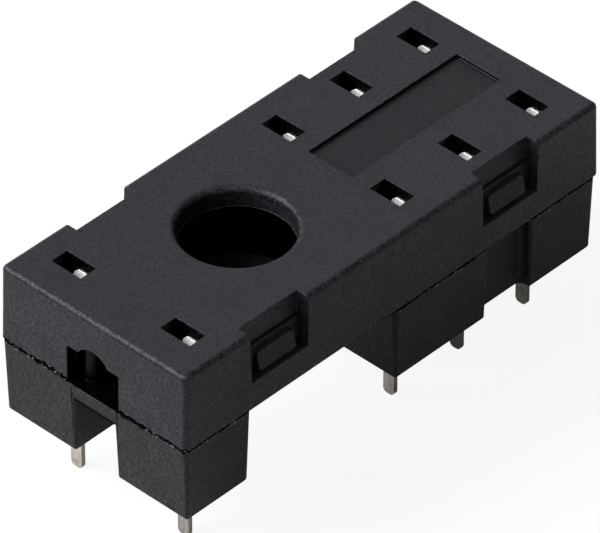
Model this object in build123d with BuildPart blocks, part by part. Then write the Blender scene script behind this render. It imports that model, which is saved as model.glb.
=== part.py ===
from build123d import *
import os
from math import tan, radians

# Relay socket for a circuit board. It takes a two-pole relay with eight flat pins.
# X runs along the length, from the coil end to the load end. Z is zero at the tips
# of the solder pins and points up, and the origin is under the middle of the housing.
# All sizes are in millimetres and all angles in degrees.

# Pin grid, set by the relay
coil_to_load = 15.0
load_pitch = 5.0
row_spacing = 7.5

# Outline at the parting line between the two housings, and heights
end_margin = 2.6
width = 12.9
cover_height = 4.7
base_height = 4.6
pin_reach = 3.8
cover_draft = 1.0
base_draft = 1.9
base_inset = 0.05

# Upper housing: walls and deck
side_wall = 0.65
end_wall = 0.7
deck_thickness = 1.4
outer_radius = 0.3
skirt_chamfer = 0.1
slot_width = 1.1
slot_length = 2.0
slot_land = 0.7

# Upper housing: round hole in the deck
hole_diameter = 6.1
hole_from_coil = 7.7
hole_lip_radius = 0.37
hole_lower_chamfer = 0.2

# Upper housing: shallow recess over the load pins
panel_margin = 0.5
panel_width = 3.05
panel_depth = 0.22

# Upper housing: side notches that run down into the windows of the snap wedges
notch_from_end = 6.7
notch_length = 4.15
notch_depth = 0.79
notch_draft = 1.4
window_sill = 1.65

# Upper housing: end windows for the retaining clip, each with an arch in its top
end_window_width = 3.55
end_window_height = 2.17
arch_radius = 1.2
arch_rise = 0.55

# Lower housing: legs, floor and rear block
leg_reach = 2.2
leg_gap = 2.6
block_lead = 2.5
floor_thickness = 0.85
bridge_thickness = 1.05
front_radius = 0.3
back_radius = 0.5
side_recess_length = 3.05
side_recess_rounding = 0.4
coring_width = 2.8
coring_depth = 3.0
coring_wall = 1.3

# Lower housing: core that fills the upper housing
core_clearance = 0.05
core_wall = 0.9

# Lower housing: snap wedges, set a little towards the load end in their windows
wedge_length = 2.65
wedge_height = 1.15
wedge_reach = 0.45
wedge_lip = 0.12
wedge_slope = 0.2
wedge_corner_radius = 0.25
wedge_shift = 0.08
catch_gap = 0.1

# Lower housing: clip recess behind each end window, with two guide posts
clip_recess_depth = 2.4
clip_sill_drop = 0.2
post_diameter = 1.0
post_spacing = 2.44
post_from_end = 1.3
post_height = 2.8

# Lower housing: chambers for the contacts
chamber_floor = 1.2
chamber_clearance = 0.12
pin_slot_clearance = 0.05

# Contact: one stamping with a box body, two spring leaves and a solder pin
sheet = 0.3
bend_radius = 0.12
body_width = 1.7
body_height = 2.4
body_half_gap = 0.6
seam_gap = 0.1
leaf_width = 0.95
leaf_corner_cut = 0.2
shoulder_rise = 0.3
throat_half_gap = 0.2
throat_depth = 1.5
mouth_half_gap = 0.55
mouth_depth = 0.8
pin_width = 0.75
pin_tip_radius = 0.28
tongue_gap = 0.06
tongue_rise = 2.0
joggle_top = 1.7
joggle_bottom = 0.7

# Levels
board_z = pin_reach
parting_z = board_z + base_height
deck_z = parting_z + cover_height
ceiling_z = deck_z - deck_thickness
core_top_z = ceiling_z - core_clearance
window_bottom_z = parting_z + window_sill
end_window_top_z = parting_z + end_window_height
wedge_bottom_z = window_bottom_z + catch_gap
wedge_top_z = wedge_bottom_z + wedge_height
clip_floor_z = parting_z - clip_sill_drop
chamber_floor_z = board_z + chamber_floor
shoulder_z = chamber_floor_z + body_height + shoulder_rise
throat_z = deck_z - throat_depth
mouth_z = deck_z - mouth_depth

# Places along the length
length = coil_to_load + 2 * load_pitch + 2 * end_margin
coil_x = -length / 2 + end_margin
load_x = [coil_x + coil_to_load + step * load_pitch for step in range(3)]
hole_x = coil_x + hole_from_coil
notch_x = length / 2 - notch_from_end
leg_back_x = coil_x + leg_reach
block_front_x = load_x[0] - block_lead
post_x = length / 2 - post_from_end

# Places across the width
notch_floor_y = width / 2 - cover_height * tan(radians(cover_draft)) - notch_depth
base_half_length = length / 2 - base_inset
base_half_width = width / 2 - base_inset
core_length = length - 2 * end_wall - 2 * core_clearance
core_half_width = width / 2 - side_wall - core_clearance
side_recess_depth = base_half_width - core_half_width
wedge_tip_y = core_half_width + wedge_reach

# Each contact stands at one point of the pin grid
contact_places = {
    "coil_contact_left": (coil_x, row_spacing / 2),
    "coil_contact_right": (coil_x, -row_spacing / 2),
    "normally_closed_contact_left": (load_x[0], row_spacing / 2),
    "normally_closed_contact_right": (load_x[0], -row_spacing / 2),
    "common_contact_left": (load_x[1], row_spacing / 2),
    "common_contact_right": (load_x[1], -row_spacing / 2),
    "normally_open_contact_left": (load_x[2], row_spacing / 2),
    "normally_open_contact_right": (load_x[2], -row_spacing / 2),
}
body_depth = 2 * (body_half_gap + sheet)
chamber_depth = body_depth + 2 * chamber_clearance
chamber_width = body_width + 2 * chamber_clearance

os.makedirs("parts", exist_ok=True)

# Upper housing: a drafted shell, open below, whose deck takes the relay
with BuildPart() as upper_housing:
    with BuildSketch(Plane.XY.offset(parting_z)):
        Rectangle(length, width)
    extrude(amount=cover_height, taper=cover_draft)
    skirt_edges = upper_housing.edges().group_by(Axis.Z)[0]
    outer_edges = upper_housing.edges() - skirt_edges
    fillet(outer_edges, outer_radius)
    chamfer(upper_housing.faces().sort_by(Axis.Z)[0].edges(), skirt_chamfer)

    with BuildSketch(Plane.XY.offset(parting_z)):
        Rectangle(length - 2 * end_wall, width - 2 * side_wall)
    extrude(amount=cover_height - deck_thickness, mode=Mode.SUBTRACT)

    # round hole with a soft lip and a chamfer below
    with BuildSketch(Plane.XY.offset(deck_z)):
        with Locations((hole_x, 0)):
            Circle(hole_diameter / 2)
    extrude(amount=-deck_thickness, mode=Mode.SUBTRACT)
    hole_rims = upper_housing.edges().filter_by(GeomType.CIRCLE).sort_by(SortBy.RADIUS)[-2:]
    fillet(hole_rims.sort_by(Axis.Z)[-1], hole_lip_radius)
    chamfer(
        upper_housing.edges().filter_by(GeomType.CIRCLE).filter_by_position(
            Axis.Z, ceiling_z, ceiling_z
        ),
        hole_lower_chamfer,
    )

    # shallow recess over the load pins
    with BuildSketch(Plane.XY.offset(deck_z)):
        with Locations((load_x[1], 0)):
            Rectangle(2 * load_pitch + 2 * panel_margin, panel_width)
    extrude(amount=-panel_depth, mode=Mode.SUBTRACT)

    # a slot over each contact, with a wider pocket below for the flared leaves
    with BuildSketch(Plane.XY.offset(deck_z)):
        with Locations(*contact_places.values()):
            Rectangle(slot_width, slot_length)
    extrude(amount=-deck_thickness, mode=Mode.SUBTRACT)
    with BuildSketch(Plane.XY.offset(ceiling_z)):
        with Locations(*contact_places.values()):
            Rectangle(chamber_depth, chamber_width)
    extrude(amount=deck_thickness - slot_land, mode=Mode.SUBTRACT)

    # side notches, a little narrower towards the bottom
    for side in (1, -1):
        with BuildSketch(Plane.XZ.offset(side * notch_floor_y)):
            with Locations((-notch_x, window_bottom_z), (notch_x, window_bottom_z)):
                Trapezoid(
                    notch_length,
                    deck_z - window_bottom_z,
                    90 + notch_draft,
                    align=(Align.CENTER, Align.MIN),
                )
        extrude(amount=side * width / 2, mode=Mode.SUBTRACT)

    # end windows with an arch in the top edge
    for side in (1, -1):
        with BuildSketch(Plane.YZ.offset(side * (length / 2 - end_wall))):
            with Locations((0, parting_z)):
                Rectangle(end_window_width, end_window_height, align=(Align.CENTER, Align.MIN))
            with Locations((0, end_window_top_z + arch_rise - arch_radius)):
                Circle(arch_radius)
        extrude(amount=side * 2 * end_wall, mode=Mode.SUBTRACT)

upper_housing.part.label = "upper_housing"
export_step(upper_housing.part, "parts/upper_housing.step")

# Lower housing: stands on the board on two legs and one block, and holds the contacts
with BuildPart() as lower_housing:
    # two front legs
    with BuildSketch(Plane.XY.offset(parting_z)) as legs:
        with Locations((-base_half_length, leg_gap / 2)):
            Rectangle(
                leg_back_x + base_half_length,
                base_half_width - leg_gap / 2,
                align=(Align.MIN, Align.MIN),
            )
        fillet(legs.vertices().group_by(Axis.X)[0], front_radius)
        outer_back_corner = legs.vertices().group_by(Axis.X)[-1].sort_by(Axis.Y)[-1]
        fillet(outer_back_corner, back_radius)
        mirror(about=Plane.XZ)
    extrude(amount=-base_height, taper=base_draft)

    # rear block with a rounded recess in each side
    with BuildSketch(Plane.XY.offset(parting_z)) as block:
        with Locations((block_front_x, 0)):
            Rectangle(
                base_half_length - block_front_x,
                2 * base_half_width,
                align=(Align.MIN, Align.CENTER),
            )
        with Locations(
            (notch_x + wedge_shift, base_half_width),
            (notch_x + wedge_shift, -base_half_width),
        ):
            Rectangle(side_recess_length, 2 * side_recess_depth, mode=Mode.SUBTRACT)
        recess_corners = block.vertices().sort_by(Axis.X)[2:-2]
        fillet(recess_corners, side_recess_rounding * side_recess_depth)
        fillet(block.vertices().group_by(Axis.X)[0], front_radius)
        fillet(block.vertices().group_by(Axis.X)[-1], back_radius)
    extrude(amount=-base_height, taper=base_draft)

    # bridge between the legs, and the floor from the legs to the block
    with BuildSketch(Plane.XY.offset(parting_z)):
        with Locations((-base_half_length, 0)):
            Rectangle(
                leg_back_x - back_radius + base_half_length,
                leg_gap + 2 * front_radius,
                align=(Align.MIN, Align.CENTER),
            )
    extrude(amount=-bridge_thickness, taper=base_draft)
    with BuildSketch(Plane.XY.offset(parting_z)):
        with Locations((coil_x, 0)):
            Rectangle(coil_to_load, 2 * core_half_width, align=(Align.MIN, Align.CENTER))
    extrude(amount=-floor_thickness)

    # core inside the upper housing, hollow under the round hole
    with BuildSketch(Plane.XY.offset(parting_z)):
        Rectangle(core_length, 2 * core_half_width)
    extrude(amount=core_top_z - parting_z)
    with BuildSketch(Plane.XY.offset(parting_z)):
        with Locations((leg_back_x, 0)):
            Rectangle(
                block_front_x - leg_back_x,
                2 * (core_half_width - core_wall),
                align=(Align.MIN, Align.CENTER),
            )
    extrude(amount=core_top_z - parting_z, mode=Mode.SUBTRACT)

    # snap wedges, sloped so that the upper housing slides over them
    for side in (1, -1):
        with BuildSketch(Plane.XZ.offset(side * core_half_width)) as wedges:
            with Locations(
                (-notch_x + wedge_shift, wedge_bottom_z),
                (notch_x + wedge_shift, wedge_bottom_z),
            ):
                Rectangle(wedge_length, wedge_height, align=(Align.CENTER, Align.MIN))
            fillet(wedges.vertices().group_by(Axis.Z)[-1], wedge_corner_radius)
        extrude(amount=side * wedge_reach)
    with BuildSketch(Plane.YZ):
        with BuildLine():
            Polyline(
                (wedge_tip_y, wedge_bottom_z + wedge_lip),
                (wedge_tip_y, wedge_top_z),
                (wedge_tip_y - wedge_slope, wedge_top_z),
                close=True,
            )
        make_face()
        mirror(about=Plane.YZ)
    extrude(amount=length / 2, both=True, mode=Mode.SUBTRACT)

    # recess behind each end window, with the guide posts of the clip
    for side in (1, -1):
        with BuildSketch(Plane.YZ.offset(side * (length / 2 - clip_recess_depth))):
            with Locations((0, clip_floor_z)):
                Rectangle(
                    end_window_width + 2 * core_clearance,
                    core_top_z - clip_floor_z,
                    align=(Align.CENTER, Align.MIN),
                )
        extrude(amount=side * clip_recess_depth, mode=Mode.SUBTRACT)
    with BuildSketch(Plane.XY.offset(clip_floor_z)):
        with GridLocations(2 * post_x, post_spacing, 2, 2):
            Circle(post_diameter / 2)
    extrude(amount=post_height)

    # a chamber for each contact, with a slot for its pin through the floor
    with BuildSketch(Plane.XY.offset(chamber_floor_z)):
        with Locations(*contact_places.values()):
            Rectangle(chamber_depth, chamber_width)
    extrude(amount=core_top_z - chamber_floor_z, mode=Mode.SUBTRACT)
    with BuildSketch(Plane.XY.offset(board_z)):
        with Locations(*contact_places.values()):
            Rectangle(sheet + 2 * pin_slot_clearance, pin_width + 2 * pin_slot_clearance)
    extrude(amount=chamber_floor, mode=Mode.SUBTRACT)

    # the rear block is cored from below to keep its walls thin
    with BuildSketch(Plane.XY.offset(board_z)):
        with Locations((block_front_x + coring_wall, 0)):
            Rectangle(
                base_half_length - block_front_x - 2 * coring_wall,
                coring_width,
                align=(Align.MIN, Align.CENTER),
            )
    extrude(amount=coring_depth, taper=base_draft, mode=Mode.SUBTRACT)

lower_housing.part.label = "lower_housing"
export_step(lower_housing.part, "parts/lower_housing.step")

# Contacts: a box folded from sheet, two sprung leaves above it and a pin below it
for name, (x, y) in contact_places.items():
    side_plane = Plane(origin=(x, y, 0), x_dir=(1, 0, 0), z_dir=(0, -1, 0))
    front_plane = Plane(origin=(x, y, 0), x_dir=(0, 1, 0), z_dir=(1, 0, 0))

    with BuildPart() as contact:
        # box body with a seam in one side
        with BuildSketch(Plane(origin=(x, y, chamber_floor_z))):
            RectangleRounded(body_depth, body_width, sheet + bend_radius)
            RectangleRounded(
                body_depth - 2 * sheet,
                body_width - 2 * sheet,
                bend_radius,
                mode=Mode.SUBTRACT,
            )
            with Locations((0, body_width / 2)):
                Rectangle(seam_gap, 3 * sheet, mode=Mode.SUBTRACT)
        extrude(amount=body_height)

        # two leaves that close to a throat and open again to a mouth
        with BuildSketch(side_plane):
            with BuildLine():
                leaf_line = FilletPolyline(
                    (body_half_gap, chamber_floor_z + body_height),
                    (body_half_gap, shoulder_z),
                    (throat_half_gap, throat_z),
                    (mouth_half_gap, mouth_z),
                    radius=sheet + bend_radius,
                )
                offset(leaf_line, amount=sheet, side=Side.RIGHT)
            make_face()
            mirror(about=Plane.YZ)
        extrude(amount=leaf_width / 2, both=True)
        leaf_tips = contact.faces().sort_by(Axis.Z)[-2:]
        chamfer(leaf_tips.edges().filter_by(Axis.Y, reverse=True), leaf_corner_cut)

        # the pin's tongue is cut free from the box wall and bent in to the middle
        with BuildSketch(front_plane):
            with Locations((0, chamber_floor_z)):
                Rectangle(
                    pin_width + 2 * tongue_gap,
                    tongue_rise,
                    align=(Align.CENTER, Align.MIN),
                )
        extrude(amount=-body_depth, mode=Mode.SUBTRACT)
        with BuildSketch(side_plane):
            with BuildLine():
                pin_line = FilletPolyline(
                    (-body_half_gap, chamber_floor_z + tongue_rise),
                    (-body_half_gap, chamber_floor_z + joggle_top),
                    (sheet / 2, chamber_floor_z + joggle_bottom),
                    (sheet / 2, 0),
                    radius=sheet + bend_radius,
                )
                offset(pin_line, amount=sheet, side=Side.RIGHT)
            make_face()
        extrude(amount=pin_width / 2, both=True)
        pin_tip_edges = contact.edges().filter_by(Axis.X).group_by(Axis.Z)[0]
        fillet(pin_tip_edges, pin_tip_radius)

    contact.part.label = name
    export_step(contact.part, f"parts/{name}.step")
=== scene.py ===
from math import cos, pi, radians, sin

import bmesh
import bpy
import numpy as np
from mathutils import Matrix, Vector


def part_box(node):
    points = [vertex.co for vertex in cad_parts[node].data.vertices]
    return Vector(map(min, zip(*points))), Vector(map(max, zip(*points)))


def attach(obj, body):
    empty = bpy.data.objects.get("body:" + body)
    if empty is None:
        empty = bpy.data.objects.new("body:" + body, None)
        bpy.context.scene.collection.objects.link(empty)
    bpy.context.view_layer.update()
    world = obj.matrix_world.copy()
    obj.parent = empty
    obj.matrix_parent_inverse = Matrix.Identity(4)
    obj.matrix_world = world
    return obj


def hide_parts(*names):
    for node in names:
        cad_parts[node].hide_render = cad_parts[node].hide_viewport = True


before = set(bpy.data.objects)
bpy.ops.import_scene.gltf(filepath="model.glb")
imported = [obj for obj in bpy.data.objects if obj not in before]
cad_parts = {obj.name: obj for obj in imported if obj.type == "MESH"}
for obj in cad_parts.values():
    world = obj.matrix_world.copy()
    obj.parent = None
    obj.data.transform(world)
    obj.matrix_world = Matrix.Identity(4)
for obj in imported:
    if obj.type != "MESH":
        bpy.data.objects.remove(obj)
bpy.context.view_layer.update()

# A black relay socket for a circuit board, seen from its coil end. Lengths are in metres, or in
# millimetres where a value's name says so. Noise scales are in cells per metre.
MM = 0.001

# Places read from the parts in model.glb
upper_low, upper_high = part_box("upper_housing")
coil_low, coil_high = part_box("coil_contact_left")
DECK_Z = upper_high.z
SEAM_Z = upper_low.z
BASE_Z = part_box("lower_housing")[0].z
END_X = upper_high.x
SIDE_Y = upper_high.y
COIL_ROW_X = (coil_low.x + coil_high.x) / 2
PIN_ROW_Y = (coil_low.y + coil_high.y) / 2

# Places worked out from them
PANEL_Z = DECK_Z - 0.22 * MM
HOLE_X = COIL_ROW_X + 7.7 * MM
HOLE_RADIUS = 3.05 * MM
LEG_END_X = COIL_ROW_X + 3.0 * MM

# The photograph's camera. It circles the middle of the coil row at deck level.
VIEW_AZIMUTH = radians(-46.543)
VIEW_ELEVATION = radians(39.363)
VIEW_ROLL = radians(0.083)
VIEW_DISTANCE = 391.014 * MM
VIEW_SHIFT_RIGHT = 8.435 * MM
VIEW_SHIFT_UP = 1.534 * MM
PHOTO_WIDTH = 600
FOCAL_PIXELS = 7961.57
SENSOR_MM = 36.0

CONTACTS = [
    f"{row}_contact_{side}"
    for row in ("coil", "normally_closed", "common", "normally_open")
    for side in ("left", "right")
]


def add_object(name, data):
    """A new object in the scene, at the origin."""
    made = bpy.data.objects.new(name, data)
    bpy.context.scene.collection.objects.link(made)
    return made


# Node helpers
def add_node(tree, kind, inputs=None, **settings):
    """A node of that kind, with its settings and the values or links of its inputs."""
    node = tree.nodes.new(kind)
    for key, value in settings.items():
        setattr(node, key, value)
    for key, value in (inputs or {}).items():
        if isinstance(value, bpy.types.NodeSocket):
            tree.links.new(value, node.inputs[key])
        else:
            node.inputs[key].default_value = value
    return node


def maths(tree, operation, first, second=0.0, clamp=False):
    """The output of a Math node."""
    inputs = {0: first, 1: second}
    return add_node(tree, "ShaderNodeMath", inputs, operation=operation, use_clamp=clamp).outputs[0]


def times(tree, first, *others):
    """The product of two or more values."""
    for other in others:
        first = maths(tree, "MULTIPLY", first, other)
    return first


def absolute(tree, value):
    """A value without its sign."""
    return maths(tree, "ABSOLUTE", value)


def one_minus(tree, value):
    """What a mask leaves out."""
    return maths(tree, "SUBTRACT", 1.0, value)


def blend_colours(tree, factor, first, second):
    """The output of a Mix node, which keeps its colours in inputs 6 and 7 and output 2."""
    inputs = {0: factor, 6: first, 7: second}
    return add_node(tree, "ShaderNodeMix", inputs, data_type="RGBA").outputs[2]


def remap(tree, value, low, high, to_low=0.0, to_high=1.0):
    """The output of a clamped, smooth map of a value's range."""
    node = add_node(
        tree,
        "ShaderNodeMapRange",
        {"Value": value, "From Min": low, "From Max": high, "To Min": to_low, "To Max": to_high},
        interpolation_type="SMOOTHSTEP",
    )
    return node.outputs["Result"]


def noise(tree, place, scale, detail, roughness=0.5):
    """The value of a noise texture."""
    inputs = {"Vector": place, "Scale": scale, "Detail": detail, "Roughness": roughness}
    return add_node(tree, "ShaderNodeTexNoise", inputs).outputs[0]


def split(tree, vector):
    """A vector's outputs X, Y and Z."""
    return add_node(tree, "ShaderNodeSeparateXYZ", {"Vector": vector}).outputs


def dot(tree, first, second):
    """The dot product of two vectors."""
    inputs = {0: first, 1: second}
    return add_node(tree, "ShaderNodeVectorMath", inputs, operation="DOT_PRODUCT").outputs["Value"]


def new_group(name, inputs, outputs):
    """An empty node group. Returns the group, the values that it is given and its output node."""
    group = bpy.data.node_groups.new(name, "ShaderNodeTree")
    for label, kind, value in inputs:
        socket = group.interface.new_socket(label, in_out="INPUT", socket_type=kind)
        if value is not None:
            socket.default_value = value
    for label in outputs:
        group.interface.new_socket(label, in_out="OUTPUT", socket_type="NodeSocketFloat")
    given = group.nodes.new("NodeGroupInput").outputs
    return group, given, group.nodes.new("NodeGroupOutput")


def use_group(tree, group, inputs):
    """The outputs of a group in a material, with the values of its inputs."""
    return add_node(tree, "ShaderNodeGroup", inputs, node_tree=group).outputs


# Shared effects. A pair of values is a range: of a noise, a place or a slope, or of what it is
# mapped to. A slope is the upright or endwise part of a surface's normal, from 0 to 1.

# Mould grain. Each band has a scale beside that of the grain, and a detail.
GRAIN_BANDS = ((1.0, 2.0), (0.42, 1.5), (0.035, 3.0))
BAND_ROUGHNESS = 0.6
COARSE_HEIGHT = 0.7
MOTTLE_RANGE = (0.36, 0.64)


def make_grain():
    """Spark-eroded mould grain: fine and coarse bumps, and a slow change over the face.

    Height is the fine noise with a share of the coarse one, Mottle is their mean with its
    middle range spread out, and Cloud is the slow noise.
    """
    group, given, made = new_group(
        "mould grain",
        [("Vector", "NodeSocketVector", None), ("Grain Size", "NodeSocketFloat", 0.16 * MM)],
        ["Height", "Mottle", "Cloud"],
    )
    scale = maths(group, "DIVIDE", 1.0, given["Grain Size"])
    fine, coarse, slow = (
        noise(group, given["Vector"], times(group, scale, factor), detail, BAND_ROUGHNESS)
        for factor, detail in GRAIN_BANDS
    )
    height = maths(group, "ADD", fine, times(group, coarse, COARSE_HEIGHT))
    mottle = times(group, maths(group, "ADD", fine, coarse), 0.5)
    group.links.new(height, made.inputs["Height"])
    group.links.new(remap(group, mottle, *MOTTLE_RANGE), made.inputs["Mottle"])
    group.links.new(slow, made.inputs["Cloud"])
    return group


# Worn corners, which also carry a painted highlight: where they begin beside the upright walls, and
# where beside the level faces
CORNER_FROM_SIDE = (0.25, 0.45)
CORNER_FROM_TOP = (0.96, 0.86)


def make_worn_and_highlit_corner():
    """Rounded upper and lower corners: one where a surface faces between level and upright."""
    group, given, made = new_group("worn and highlit corner", [("Normal", "NodeSocketVector", None)], ["Mask"])
    slope = absolute(group, split(group, given["Normal"])["Z"])
    from_side = remap(group, slope, *CORNER_FROM_SIDE)
    from_top = remap(group, slope, *CORNER_FROM_TOP)
    group.links.new(times(group, from_side, from_top), made.inputs["Mask"])
    return group


# The joint between the housings, whose gap is painted black as painted shade. The gap reaches a
# distance from its line, times a factor that varies along it and a factor for sides and ends.
# A noise has a scale and a detail.
RAGGED_NOISE = (2600.0, 3.0)
RAGGED_RANGE = (0.35, 0.68)
GAP_REACH = (0.07 * MM, 0.20 * MM)
UNEVEN_NOISE = (420.0, 1.0)
UNEVEN_RANGE = (0.35, 0.65)
UNEVEN_FACTOR = (0.75, 1.2)
SIDE_TO_END = (0.5, 0.8)
END_FACTOR = (0.75, 1.3)
UPRIGHT_LIMIT = 0.9
BITS_NOISE = (5200.0, 1.0)
BITS_FADE = (0.26 * MM, 0.14 * MM)
BITS_THRESHOLD = (0.632, 0.69)
BELOW_LINE = (0.05 * MM, 0.14 * MM)
MORE_BELOW_LINE = (-0.01, 0.045)


def make_seam():
    """The joint between the housings on upright faces: a ragged gap, and bits of flash.

    The gap, where painted shade goes, is narrower on the long sides and wider on the ends. The
    bits of flash are a fine noise over a threshold. They fade away from the line, and there are
    more of them below it.
    """
    group, given, made = new_group(
        "seam",
        [
            ("Vector", "NodeSocketVector", None),
            ("Normal", "NodeSocketVector", None),
            ("Level", "NodeSocketFloat", 0.0),
        ],
        ["Gap", "Flash"],
    )
    level = split(group, given["Vector"])["Z"]
    away = absolute(group, maths(group, "SUBTRACT", level, given["Level"]))
    normal = split(group, given["Normal"])
    upright = maths(group, "LESS_THAN", absolute(group, normal["Z"]), UPRIGHT_LIMIT)

    ragged = noise(group, given["Vector"], *RAGGED_NOISE)
    uneven = noise(group, given["Vector"], *UNEVEN_NOISE)
    reach = times(
        group,
        remap(group, ragged, *RAGGED_RANGE, *GAP_REACH),
        remap(group, uneven, *UNEVEN_RANGE, *UNEVEN_FACTOR),
        remap(group, absolute(group, normal["X"]), *SIDE_TO_END, *END_FACTOR),
    )
    gap = times(group, maths(group, "LESS_THAN", away, reach), upright)

    bits = noise(group, given["Vector"], *BITS_NOISE)
    below = maths(group, "SUBTRACT", given["Level"], level)
    bits = maths(group, "ADD", bits, remap(group, below, *BELOW_LINE, *MORE_BELOW_LINE))
    near = remap(group, away, *BITS_FADE)
    flash = times(group, near, remap(group, bits, *BITS_THRESHOLD), upright)
    group.links.new(gap, made.inputs["Gap"])
    group.links.new(flash, made.inputs["Flash"])
    return group


# The inside of the socket, where the plastic is painted black as painted shade. Each pair gives
# where a mask starts and where it is full.
END_WALL = 0.68 * MM
SIDE_WALL = 1.0 * MM
WALL_FADE = 0.1 * MM
INSIDE_X = (END_X - END_WALL, END_X - END_WALL - WALL_FADE)
INSIDE_Y = (SIDE_Y - SIDE_WALL, SIDE_Y - SIDE_WALL - WALL_FADE)
WINDOW_X = (END_X - 0.03 * MM, END_X - 0.08 * MM)
FACING_END = (0.3, 0.6)
WALL_SLOPE = (0.5, 0.3)
WALL_Z = (DECK_Z - 0.03 * MM, DECK_Z - 0.09 * MM)
UNDER_DECK_Z = (DECK_Z - 0.25 * MM, DECK_Z - 0.6 * MM)
OVER_SEAM_Z = (SEAM_Z - 0.30 * MM, SEAM_Z - 0.22 * MM)
CLEAR_OF_HOLE = HOLE_RADIUS + 0.6 * MM


def make_inside():
    """Surfaces within the socket's walls, as two masks.

    Core is all that lies further in than the walls, with the sides and the sill of the end
    windows, at every level. Mask is where painted shade goes: the part of Core from just under
    the deck's face to just below the joint, clear of the round hole. It starts higher on
    upright walls than on level faces.
    """
    group, given, made = new_group(
        "inside",
        [("Vector", "NodeSocketVector", None), ("Normal", "NodeSocketVector", None)],
        ["Mask", "Core"],
    )
    place = split(group, given["Vector"])
    normal = split(group, given["Normal"])
    along = absolute(group, place["X"])
    across = absolute(group, place["Y"])

    facing_end = remap(group, absolute(group, normal["X"]), *FACING_END)
    in_window = times(group, remap(group, along, *WINDOW_X), one_minus(group, facing_end))
    core = maths(group, "MAXIMUM", remap(group, along, *INSIDE_X), in_window)
    core = times(group, core, remap(group, across, *INSIDE_Y))

    walls = remap(group, absolute(group, normal["Z"]), *WALL_SLOPE)
    walls = times(group, walls, remap(group, place["Z"], *WALL_Z))
    under_deck = maths(group, "MAXIMUM", walls, remap(group, place["Z"], *UNDER_DECK_Z))
    mask = times(group, under_deck, remap(group, place["Z"], *OVER_SEAM_Z), core)
    from_hole = absolute(group, maths(group, "SUBTRACT", place["X"], HOLE_X))
    from_hole = maths(
        group,
        "ADD",
        maths(group, "POWER", from_hole, 2.0),
        maths(group, "POWER", across, 2.0),
    )
    clear = maths(group, "GREATER_THAN", from_hole, CLEAR_OF_HOLE**2)
    group.links.new(times(group, mask, clear), made.inputs["Mask"])
    group.links.new(core, made.inputs["Core"])
    return group


GRAIN = make_grain()
WORN_AND_HIGHLIT_CORNER = make_worn_and_highlit_corner()
SEAM = make_seam()
INSIDE = make_inside()


# Materials
def new_material(name):
    """An empty material. Returns the material, its tree and its output node."""
    material = bpy.data.materials.new(name)
    material.use_nodes = True
    material.node_tree.nodes.clear()
    output = material.node_tree.nodes.new("ShaderNodeOutputMaterial")
    return material, material.node_tree, output


def add_shader(tree, output, height, depth, inputs):
    """The shader of a material, with a bump of a height times a depth, and its other inputs."""
    bump = {"Height": height, "Distance": depth, "Strength": 1.0}
    bumped = add_node(tree, "ShaderNodeBump", bump).outputs["Normal"]
    shader = add_node(tree, "ShaderNodeBsdfPrincipled", {**inputs, "Normal": bumped})
    tree.links.new(shader.outputs["BSDF"], output.inputs["Surface"])


# The grain of the moulded plastic, which is shallower on the polished panel
GRAIN_SIZE = 0.08 * MM
GRAIN_DEPTH = 0.028 * MM
POLISHED_GRAIN = 0.3
POLISHED_WITHIN = 0.03 * MM

# Its colours, with black for the polish and for painted shade, and how strongly clouds, painted
# light on up-facing faces, polish and wear with a painted highlight lie over the mottled one
BLACK = (0.0006, 0.0006, 0.0008, 1.0)
TOP_LIGHT_GREY = (0.040, 0.039, 0.045, 1.0)
RUBBED_AND_HIGHLIT = (0.045, 0.045, 0.048, 1.0)
FLASH_GREY = (0.085, 0.085, 0.090, 1.0)
CLOUD_RANGE = (0.35, 0.65)
FACING_UP = (0.90, 0.99)
CLOUDED = 0.3
TOP_LIGHTENING = 0.28
POLISH = 0.40
RUBBING_AND_HIGHLIGHT = 0.5

# Its roughness from the darkest to the palest grain, and what is taken off where it is glossier
ROUGHNESS = (0.40, 0.34)
RUBBED_GLOSS = 0.12
CORNER_GLOSS = 0.06
INSIDE_GLOSS = 0.10


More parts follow.
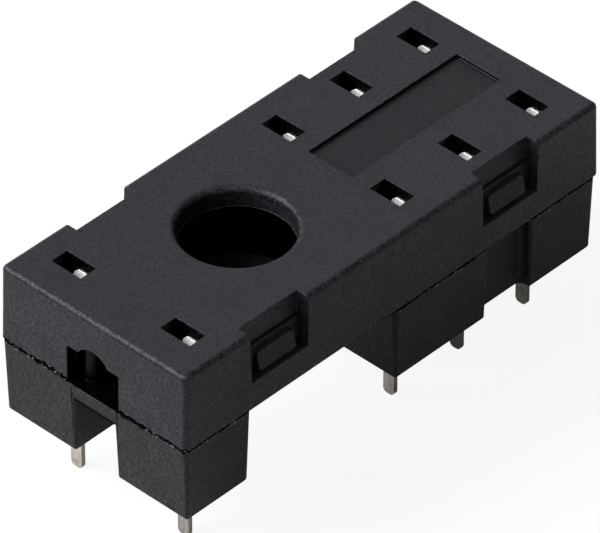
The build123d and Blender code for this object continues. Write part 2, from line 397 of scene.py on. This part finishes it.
def make_moulded_black(name, shine, tint, dark, pale):
    """Glass-filled black plastic from a spark-eroded mould.

    The grain mottles the colour from dark to pale, with slow darker clouds. Faces that look
    up are blended paler as painted light from above, rounded corners are paler by wear and by a
    painted highlight, and the panel in the deck is darker with a shallower grain. Surfaces
    inside the socket are painted black as painted shade. The open gap between the housings is
    painted black, rough and without the gloss of plastic, as painted shade in the joint, so that
    it is the darkest line from all sides, and bits of grey flash lie beside it.
    """
    material, tree, output = new_material(name)
    place = add_node(tree, "ShaderNodeTexCoord").outputs["Object"]
    normal = add_node(tree, "ShaderNodeNewGeometry").outputs["Normal"]
    grain = use_group(tree, GRAIN, {"Vector": place, "Grain Size": GRAIN_SIZE})
    corner = use_group(tree, WORN_AND_HIGHLIT_CORNER, {"Normal": normal})["Mask"]
    seam = use_group(tree, SEAM, {"Vector": place, "Normal": normal, "Level": SEAM_Z})
    within = use_group(tree, INSIDE, {"Vector": place, "Normal": normal})
    # painted shade: Mask marks surfaces inside the socket that are painted black, for the shade
    # that falls there
    inside = within["Mask"]
    flash = times(tree, seam["Flash"], one_minus(tree, within["Core"]))
    # painted shade: the open gap is painted black and without gloss, for the shade inside the joint
    painted_gap_shade = maths(tree, "SUBTRACT", seam["Gap"], flash, clamp=True)
    from_panel = absolute(tree, maths(tree, "SUBTRACT", split(tree, place)["Z"], PANEL_Z))
    polish = maths(tree, "LESS_THAN", from_panel, POLISHED_WITHIN)
    # painted highlight: rounded corners are paler by the grain, partly wear and partly a highlight
    # painted along the edges
    rubbed_and_highlit = times(tree, corner, grain["Mottle"])
    facing_up = remap(tree, split(tree, normal)["Z"], *FACING_UP)

    colour = blend_colours(tree, grain["Mottle"], dark, pale)
    for mask, over in (
        (times(tree, remap(tree, grain["Cloud"], *CLOUD_RANGE), CLOUDED), dark),
        # painted light: faces that look up are blended paler, for the light that falls on them from
        # above
        (times(tree, facing_up, TOP_LIGHTENING), TOP_LIGHT_GREY),
        (times(tree, polish, POLISH), BLACK),
        # wear and a painted highlight on rounded corners
        (times(tree, rubbed_and_highlit, RUBBING_AND_HIGHLIGHT), RUBBED_AND_HIGHLIT),
        # painted shade inside the socket and in the open joint gap, blended to black
        (maths(tree, "MAXIMUM", seam["Gap"], inside), BLACK),
        (flash, FLASH_GREY),
    ):
        colour = blend_colours(tree, mask, colour, over)

    roughness = remap(tree, grain["Mottle"], 0.0, 1.0, *ROUGHNESS)
    roughness = maths(tree, "SUBTRACT", roughness, times(tree, rubbed_and_highlit, RUBBED_GLOSS))
    roughness = maths(tree, "SUBTRACT", roughness, times(tree, corner, CORNER_GLOSS))
    roughness = maths(tree, "MAXIMUM", roughness, painted_gap_shade)
    roughness = maths(tree, "SUBTRACT", roughness, times(tree, inside, INSIDE_GLOSS))

    depth = remap(tree, polish, 0.0, 1.0, 1.0, POLISHED_GRAIN)
    height = times(tree, depth, one_minus(tree, painted_gap_shade), grain["Height"])
    add_shader(
        tree,
        output,
        height,
        GRAIN_DEPTH,
        {
            "Base Color": colour,
            # a metallic black takes the gloss out of the gap, part of its painted shade
            "Metallic": painted_gap_shade,
            "Roughness": roughness,
            "Specular IOR Level": shine,
            "Specular Tint": tint,
        },
    )
    return material


# The tinned contacts: the streaks and stains in the tin, its colours on the leaf, raised to near
# white as a painted highlight, and on the pin, and how far above and below the joint one finish
# gives way to the other
STREAK_STRETCH = (7000.0, 7000.0, 900.0)
STREAK_NOISE = (1.0, 3.0)
STREAK_RANGE = (0.3, 0.7)
STREAK_DEPTH = 0.006 * MM
STREAK_ROUGHNESS = (0.42, 0.30)
STAIN_NOISE = (1600.0, 2.0)
STAIN_RANGE = (0.5, 0.75)
LEAF_GLINT_DARK = (0.93, 0.92, 0.90, 1.0)
LEAF_GLINT_PALE = (0.98, 0.98, 0.97, 1.0)
LEAF_GLINT_METAL = 0.35
PIN_DARK = (0.36, 0.33, 0.29)
PIN_PALE = (0.52, 0.49, 0.45)
PIN_STAIN = (0.30, 0.26, 0.22)
BARE_METAL = (0.20, 0.165, 0.14, 1.0)
CUT_SIDE_FACING = (0.6, 0.95)
CUT_SIDE_STRENGTH = 0.75
FINISH_FADE = 1.0 * MM

# Painted reflection: how bright the pin of a contact is beside the average, for what each pin
# reflects around it
PAINTED_PIN_LIGHT = {
    "coil_contact_left": 0.9,
    "coil_contact_right": 0.56,
    "normally_closed_contact_right": 1.4,
    "common_contact_right": 0.38,
    "normally_open_contact_right": 0.85,
}


def make_tinned_metal(name, painted_pin_light):
    """Dull tin on copper alloy: streaks along the strip, and bare metal on the cut sides.

    The leaf inside the socket is near white, and only partly metal, so that it is pale from all
    sides: the tin's own pale colour raised into a painted highlight. The pin below it has dulled
    and stained, and each contact's pin is painted brighter or darker as painted reflection of
    what lies around it. The cut sides of a pin face along Y.
    """
    material, tree, output = new_material(name)
    place = add_node(tree, "ShaderNodeTexCoord").outputs["Object"]
    level = split(tree, place)["Z"]
    true_normal = add_node(tree, "ShaderNodeNewGeometry").outputs["True Normal"]
    along_strip = add_node(tree, "ShaderNodeMapping", {"Vector": place, "Scale": STREAK_STRETCH})
    streaks = noise(tree, along_strip.outputs["Vector"], *STREAK_NOISE)
    streaked = remap(tree, streaks, *STREAK_RANGE)
    stained = remap(tree, noise(tree, place, *STAIN_NOISE), *STAIN_RANGE)
    cut_side = absolute(tree, dot(tree, true_normal, (0.0, 1.0, 0.0)))
    cut_side = remap(tree, cut_side, *CUT_SIDE_FACING)

    # painted reflection: each pin's colours are scaled by how bright its surroundings look in it
    pin_dark, pin_pale, pin_stain = (
        tuple(painted_pin_light * part for part in tone) + (1.0,)
        for tone in (PIN_DARK, PIN_PALE, PIN_STAIN)
    )
    # painted highlight: the leaf's tin is near white and only partly metal, so that it looks
    # brightly lit from all sides
    leaf = blend_colours(tree, streaked, LEAF_GLINT_DARK, LEAF_GLINT_PALE)
    pin = blend_colours(tree, streaked, pin_dark, pin_pale)
    pin = blend_colours(tree, stained, pin, pin_stain)
    tin = blend_colours(tree, remap(tree, level, SEAM_Z, SEAM_Z - FINISH_FADE), leaf, pin)
    colour = blend_colours(tree, times(tree, cut_side, CUT_SIDE_STRENGTH), tin, BARE_METAL)
    add_shader(
        tree,
        output,
        streaks,
        STREAK_DEPTH,
        {
            "Base Color": colour,
            "Metallic": remap(tree, level, SEAM_Z, SEAM_Z + FINISH_FADE, 1.0, LEAF_GLINT_METAL),
            "Roughness": remap(tree, streaks, *STREAK_RANGE, *STREAK_ROUGHNESS),
        },
    )
    return material


# The housings and contacts: the solids from model.glb with their corners broken
MERGE_DISTANCE = 0.0004 * MM
SHARP_TURN = radians(40)
UPPER_CORNER = 0.04 * MM
LOWER_CORNER = 0.05 * MM
LEG_RIM = 0.135 * MM
CONTACT_CORNER = 0.03 * MM
CORNER_SEGMENTS = 2
LEG_RIM_SEGMENTS = 4

# How near the bottom a leg's rim lies, and how far at most a pin's slot reaches from its middle
ON_BOTTOM = 0.01 * MM
PIN_SLOT_REACH = 0.7 * MM

# Square millimetres in a square metre, and what keeps a division by a length from failing at 0
SQUARE_MM = 1e6
NEARLY_NONE = 1e-30


def read_all(items, name, width=1, kind=float):
    """One attribute of all vertices, loops or faces of a mesh, as an array."""
    values = np.empty(len(items) * width, dtype=kind)
    items.foreach_get(name, values)
    return values.reshape(-1, width) if width > 1 else values


def keep_flats_flat(mesh):
    """Vertex normals for a smooth mesh whose flat faces stay flat.

    A vertex normal is the sum of the normals of its faces, each times its corner's angle and
    the square of its area, so that a flat face wins over the narrow strips beside it.
    """
    places = read_all(mesh.vertices, "co", 3)
    vertex = read_all(mesh.loops, "vertex_index", kind=int)
    first = read_all(mesh.polygons, "loop_start", kind=int)
    count = read_all(mesh.polygons, "loop_total", kind=int)
    facing = read_all(mesh.polygons, "normal", 3)
    area = read_all(mesh.polygons, "area") * SQUARE_MM
    face = np.repeat(np.arange(len(first)), count)
    step = np.arange(len(vertex)) - first[face]
    onward = places[vertex[first[face] + (step + 1) % count[face]]] - places[vertex]
    back = places[vertex[first[face] + (step - 1) % count[face]]] - places[vertex]
    lengths = np.linalg.norm(onward, axis=1) * np.linalg.norm(back, axis=1) + NEARLY_NONE
    angle = np.arccos(np.clip((onward * back).sum(axis=1) / lengths, -1.0, 1.0))
    pull = (angle * area[face] ** 2)[:, None] * facing[face]
    normals = np.zeros_like(places)
    np.add.at(normals, vertex, pull)
    normals /= np.linalg.norm(normals, axis=1)[:, None] + NEARLY_NONE
    mesh.normals_split_custom_set_from_vertices(normals.tolist())


def sharp_edges(solid):
    """The edges of a closed mesh where its surface turns by more than a set angle."""
    return [edge for edge in solid.edges if edge.calc_face_angle(0.0) > SHARP_TURN]


def on_leg_rim(edge):
    """Whether an edge of the lower housing lies on the bottom rim of one of its two legs.

    The rim of the slot round a leg's pin isn't part of it.
    """
    middle = (edge.verts[0].co + edge.verts[1].co) / 2
    from_pin = max(abs(middle.x - COIL_ROW_X), abs(abs(middle.y) - PIN_ROW_Y))
    level = max(abs(vertex.co.z - BASE_Z) for vertex in edge.verts)
    return level < ON_BOTTOM and middle.x < LEG_END_X and from_pin > PIN_SLOT_REACH


def round_edges(solid, edges, width, segments):
    """Rounds edges of a closed mesh by a width, with a quarter circle where they are square."""
    bmesh.ops.bevel(
        solid,
        geom=edges,
        offset=width,
        offset_type="OFFSET",
        segments=segments,
        profile=0.5,
        affect="EDGES",
        clamp_overlap=False,
        loop_slide=False,
    )


def broken_corners(node, name, width, material, leg_width=0.0):
    """A copy of a solid as one closed mesh, with its sharp corners rounded by a width.

    The bottom rims of the legs can have a larger width of their own.
    """
    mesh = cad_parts[node].data.copy()
    mesh.name = name
    solid = bmesh.new()
    solid.from_mesh(mesh)
    bmesh.ops.remove_doubles(solid, verts=solid.verts, dist=MERGE_DISTANCE)
    if leg_width:
        rims = [edge for edge in sharp_edges(solid) if on_leg_rim(edge)]
        round_edges(solid, rims, leg_width, LEG_RIM_SEGMENTS)
    round_edges(solid, sharp_edges(solid), width, CORNER_SEGMENTS)
    solid.to_mesh(mesh)
    solid.free()
    mesh.materials.clear()
    mesh.materials.append(material)
    mesh.shade_smooth()
    keep_flats_flat(mesh)
    piece = add_object(name, mesh)
    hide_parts(node)
    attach(piece, "root")


plastic_upper = make_moulded_black(
    "moulded black deck",
    shine=0.111,
    tint=(0.868, 0.838, 1.0, 1.0),
    dark=(0.0020, 0.0019, 0.0027, 1.0),
    pale=(0.0185, 0.0180, 0.0215, 1.0),
)
# The base is the same black plastic, darker and less glossy as painted shade on the lower part of
# the socket
plastic_lower_shaded = make_moulded_black(
    "moulded black base with painted shade",
    shine=0.085,
    tint=(0.97, 0.97, 1.0, 1.0),
    dark=(0.0020, 0.0020, 0.0023, 1.0),
    pale=(0.0155, 0.0155, 0.0168, 1.0),
)
broken_corners(
    "upper_housing",
    "upper_housing_moulding",
    UPPER_CORNER,
    plastic_upper,
)
broken_corners(
    "lower_housing",
    "lower_housing_moulding",
    LOWER_CORNER,
    plastic_lower_shaded,
    leg_width=LEG_RIM,
)
for contact in CONTACTS:
    tin = make_tinned_metal(f"tin on {contact}", PAINTED_PIN_LIGHT.get(contact, 1.0))
    broken_corners(contact, f"{contact}_stamping", CONTACT_CORNER, tin)


# The flash in the deck hole. Each waver has a height, a count round the ring and a shift.
FLASH_Z = DECK_Z - 1.17 * MM
FLASH_REACH = 0.035 * MM
FLASH_RISE = 0.03 * MM
FLASH_SUNK = 0.01 * MM
FLASH_WAVERS = ((0.25, 7.0, 0.6), (0.18, 17.0, 2.1), (0.10, 43.0, 0.0))
FLASH_STEPS = 360
FLASH_SIDES = 8


def make_hole_flash():
    """Thin flash left round the lower end of the deck hole.

    A ring round the hole's axis. Its height and its reach into the hole both waver along the
    ring as sums of sines, and its section is half an ellipse with the flat side in the wall.
    """
    turn = np.linspace(0.0, 2.0 * pi, FLASH_STEPS, endpoint=False)[:, None]
    across = np.linspace(-pi / 2, pi / 2, FLASH_SIDES)[None, :]
    waves = (height * np.sin(count * turn + shift) for height, count, shift in FLASH_WAVERS)
    waver = sum(waves, 1.0)
    radius = HOLE_RADIUS + FLASH_SUNK - FLASH_REACH * waver * np.cos(across)
    rise = FLASH_RISE * waver * np.sin(across)
    points = np.stack(
        [HOLE_X + radius * np.cos(turn), radius * np.sin(turn), FLASH_Z + rise],
        axis=-1,
    )
    here = np.arange(FLASH_STEPS * FLASH_SIDES).reshape(FLASH_STEPS, FLASH_SIDES)
    beside = np.roll(here, -1, axis=1)
    onward = (np.roll(ring, -1, axis=0) for ring in (beside, here))
    faces = np.stack([here, beside, *onward], axis=-1)
    mesh = bpy.data.meshes.new("hole_flash")
    mesh.from_pydata(points.reshape(-1, 3).tolist(), [], faces.reshape(-1, 4).tolist())
    mesh.shade_smooth()
    mesh.materials.append(plastic_upper)
    flash = add_object("hole_flash", mesh)
    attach(flash, "root")


make_hole_flash()


# Floor and room: their colours and strengths, and the dark screen that only reflections show
WHITE = (1.0, 1.0, 1.0, 1.0)
FLOOR_HALF_WIDTH = 1.5
FLOOR_COLOUR = (0.86, 0.86, 0.86, 1.0)
FLOOR_WHITENESS = 0.9
FLOOR_WHITENESS_IN_REFLECTIONS = 0.04
ROOM_LIGHT = 0.28
SCREEN_DIRECTION = (0.86, -0.51, 0.0)
SCREEN_EDGE = (0.45, 0.85)
SCREEN_COLOUR = (0.25, 0.25, 0.27, 1.0)

# The one lamp: where it stands from the middle of the socket, its size and its power
KEY_DIRECTION = (-0.64, 0.50, 0.55)
KEY_DISTANCE = 0.6
KEY_SIZE = 0.50
KEY_POWER = 9.3


def make_floor():
    """A plain pale floor, white to the eye and keeping a faint shadow."""
    corners = np.array([[-1.0, -1.0, 0.0], [1.0, -1.0, 0.0], [1.0, 1.0, 0.0], [-1.0, 1.0, 0.0]])
    mesh = bpy.data.meshes.new("floor")
    mesh.from_pydata((FLOOR_HALF_WIDTH * corners).tolist(), [], [(0, 1, 2, 3)])
    material, tree, output = new_material("pale floor")
    rays = add_node(tree, "ShaderNodeLightPath").outputs
    whiteness = maths(tree, "ADD", rays["Is Camera Ray"], rays["Is Transmission Ray"])
    whiteness = times(tree, whiteness, FLOOR_WHITENESS)
    reflected = times(tree, rays["Is Glossy Ray"], FLOOR_WHITENESS_IN_REFLECTIONS)
    whiteness = maths(tree, "ADD", whiteness, reflected)
    lit = add_node(tree, "ShaderNodeBsdfDiffuse", {"Color": FLOOR_COLOUR}).outputs[0]
    white = add_node(tree, "ShaderNodeEmission", {"Color": WHITE, "Strength": 1.0}).outputs[0]
    mixed = add_node(tree, "ShaderNodeMixShader", {0: whiteness, 1: lit, 2: white}).outputs[0]
    tree.links.new(mixed, output.inputs["Surface"])
    mesh.materials.append(material)
    floor = add_object("floor", mesh)


def make_world():
    """Even grey light from all round, and a white backdrop for the camera and reflections.

    In reflections alone the backdrop has a dark screen on one side.
    """
    world = bpy.data.worlds.new("studio")
    bpy.context.scene.world = world
    world.use_nodes = True
    tree = world.node_tree
    tree.nodes.clear()
    output = tree.nodes.new("ShaderNodeOutputWorld")
    rays = add_node(tree, "ShaderNodeLightPath").outputs
    seen = maths(tree, "ADD", rays["Is Camera Ray"], rays["Is Glossy Ray"])
    seen = maths(tree, "ADD", seen, rays["Is Transmission Ray"], clamp=True)
    direction = add_node(tree, "ShaderNodeTexCoord").outputs["Generated"]
    screen = remap(tree, dot(tree, direction, SCREEN_DIRECTION), *SCREEN_EDGE)
    screen = times(tree, screen, rays["Is Glossy Ray"])
    backdrop = blend_colours(tree, screen, WHITE, SCREEN_COLOUR)
    grey = {"Color": WHITE, "Strength": ROOM_LIGHT}
    grey = add_node(tree, "ShaderNodeBackground", grey).outputs[0]
    white = {"Color": backdrop, "Strength": 1.0}
    white = add_node(tree, "ShaderNodeBackground", white).outputs[0]
    mixed = add_node(tree, "ShaderNodeMixShader", {0: seen, 1: grey, 2: white}).outputs[0]
    tree.links.new(mixed, output.inputs["Surface"])


def add_key_light():
    """A large square soft light, above the socket and to its left as the camera sees it.

    It points at the middle of the socket.
    """
    lamp = bpy.data.lights.new("key from the left", "AREA")
    lamp.shape = "SQUARE"
    lamp.size = KEY_SIZE
    lamp.energy = KEY_POWER
    softbox = add_object("key from the left", lamp)
    towards = Vector(KEY_DIRECTION).normalized()
    softbox.location = Vector((0.0, 0.0, DECK_Z / 2)) + towards * KEY_DISTANCE
    softbox.rotation_euler = towards.to_track_quat("Z", "Y").to_euler()


def add_camera():
    """The photograph's camera, from its bearing, height, roll and distance."""
    back = Vector(
        (
            sin(VIEW_AZIMUTH) * cos(VIEW_ELEVATION),
            -cos(VIEW_AZIMUTH) * cos(VIEW_ELEVATION),
            sin(VIEW_ELEVATION),
        )
    )
    level = Vector((0.0, 0.0, 1.0)).cross(back).normalized()
    over = back.cross(level)
    right = level * cos(VIEW_ROLL) + over * sin(VIEW_ROLL)
    up = over * cos(VIEW_ROLL) - level * sin(VIEW_ROLL)
    target = Vector((COIL_ROW_X, 0.0, DECK_Z))
    place = target + back * VIEW_DISTANCE + right * VIEW_SHIFT_RIGHT + up * VIEW_SHIFT_UP
    lens = bpy.data.cameras.new("photo camera")
    lens.sensor_fit = "HORIZONTAL"
    lens.sensor_width = SENSOR_MM
    lens.lens = FOCAL_PIXELS / PHOTO_WIDTH * SENSOR_MM
    camera = add_object("photo camera", lens)
    turned = Matrix((right, up, back)).transposed().to_4x4()
    camera.matrix_world = Matrix.Translation(place) @ turned
    bpy.context.scene.camera = camera


make_floor()
make_world()
add_key_light()
add_camera()
bpy.context.scene.view_settings.view_transform = "Standard"
